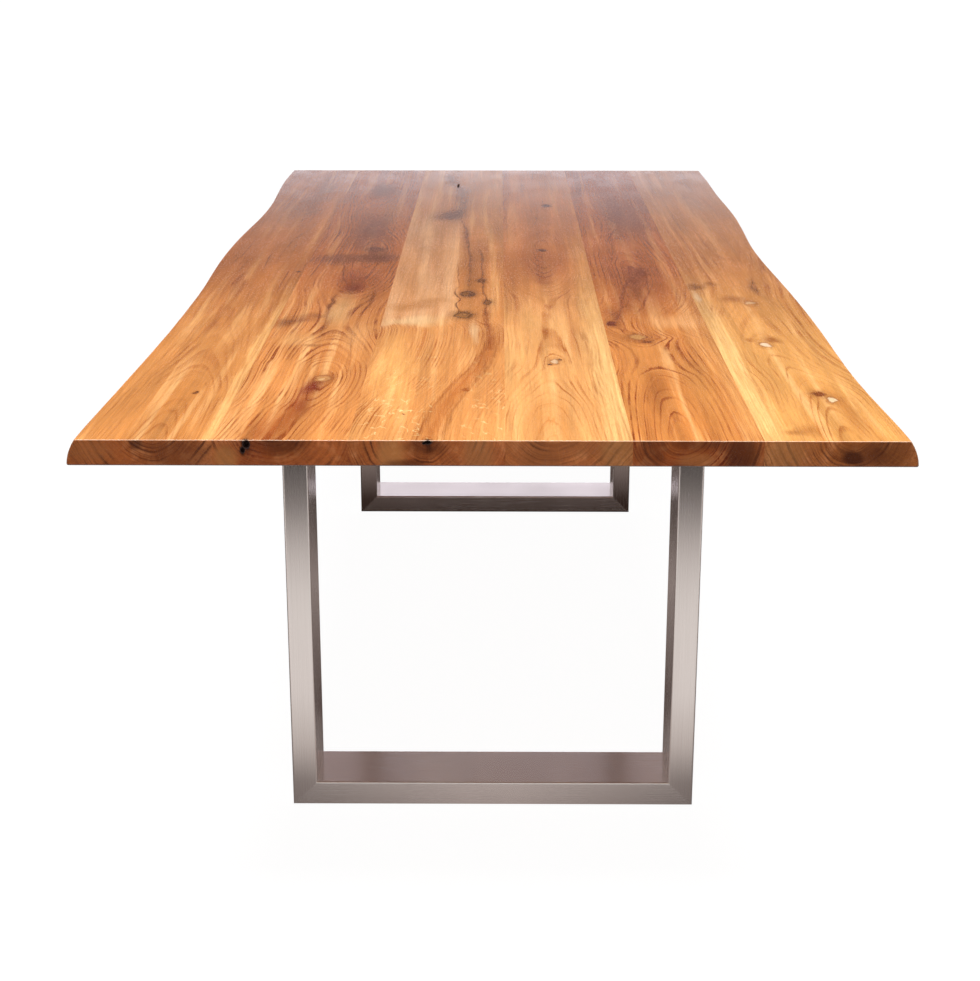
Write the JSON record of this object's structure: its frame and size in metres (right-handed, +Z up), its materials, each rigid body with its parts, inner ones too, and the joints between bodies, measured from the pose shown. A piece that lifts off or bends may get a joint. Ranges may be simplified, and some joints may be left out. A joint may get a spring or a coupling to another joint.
{
  "type": "plank table",
  "caption": "Long dining table with a natural-edge plank top on flat-tube steel U frames with levelling glides.",
  "frame": {"origin": "on the floor, under the centre of the table top", "axes": "+X across the table to the right as pictured, +Y along the table away from the pictured end, +Z up"},
  "size_m": [1.1, 2.6, 0.76],
  "materials": {
    "oiled_oak": "satin oil",
    "tenon_beech": "raw",
    "brushed_stainless": "brushed",
    "raw_steel": "matt",
    "zinc_steel": "zinc plated",
    "insert_brass": "raw",
    "glide_nylon": "matt"
  },
  "bodies": {
    "table": {"left_live_edge_plank": "oiled_oak", "left_plank": "oiled_oak", "left_centre_plank": "oiled_oak", "right_centre_plank": "oiled_oak", "right_plank": "oiled_oak", "right_live_edge_plank": "oiled_oak", "seam_1_tenons": "tenon_beech", "seam_2_tenons": "tenon_beech", "seam_3_tenons": "tenon_beech", "seam_4_tenons": "tenon_beech", "seam_5_tenons": "tenon_beech", "front_stiffener_bar": "raw_steel", "middle_stiffener_bar": "raw_steel", "rear_stiffener_bar": "raw_steel", "front_stiffener_screws": "zinc_steel", "middle_stiffener_screws": "zinc_steel", "rear_stiffener_screws": "zinc_steel", "front_left_leg": "brushed_stainless", "front_right_leg": "brushed_stainless", "rear_left_leg": "brushed_stainless", "rear_right_leg": "brushed_stainless", "front_floor_rail": "brushed_stainless", "rear_floor_rail": "brushed_stainless", "front_mounting_plate": "raw_steel", "rear_mounting_plate": "raw_steel", "front_plate_bolts": "zinc_steel", "rear_plate_bolts": "zinc_steel", "front_plate_washers": "zinc_steel", "rear_plate_washers": "zinc_steel", "front_plate_inserts": "insert_brass", "rear_plate_inserts": "insert_brass", "front_glide_bushes": "zinc_steel", "rear_glide_bushes": "zinc_steel"},
    "front_left_glide": {"front_left_glide_pad": "glide_nylon", "front_left_glide_stud": "zinc_steel"},
    "front_right_glide": {"front_right_glide_pad": "glide_nylon", "front_right_glide_stud": "zinc_steel"},
    "rear_left_glide": {"rear_left_glide_pad": "glide_nylon", "rear_left_glide_stud": "zinc_steel"},
    "rear_right_glide": {"rear_right_glide_pad": "glide_nylon", "rear_right_glide_stud": "zinc_steel"}
  },
  "joints": [
    {"name": "front_left_glide_travel", "type": "slide", "parent": "table", "child": "front_left_glide", "axis": [0, 0, -1], "range_m": [0, 0.01]},
    {"name": "front_right_glide_travel", "type": "slide", "parent": "table", "child": "front_right_glide", "axis": [0, 0, -1], "range_m": [0, 0.01]},
    {"name": "rear_left_glide_travel", "type": "slide", "parent": "table", "child": "rear_left_glide", "axis": [0, 0, -1], "range_m": [0, 0.01]},
    {"name": "rear_right_glide_travel", "type": "slide", "parent": "table", "child": "rear_right_glide", "axis": [0, 0, -1], "range_m": [0, 0.01]}
  ]
}
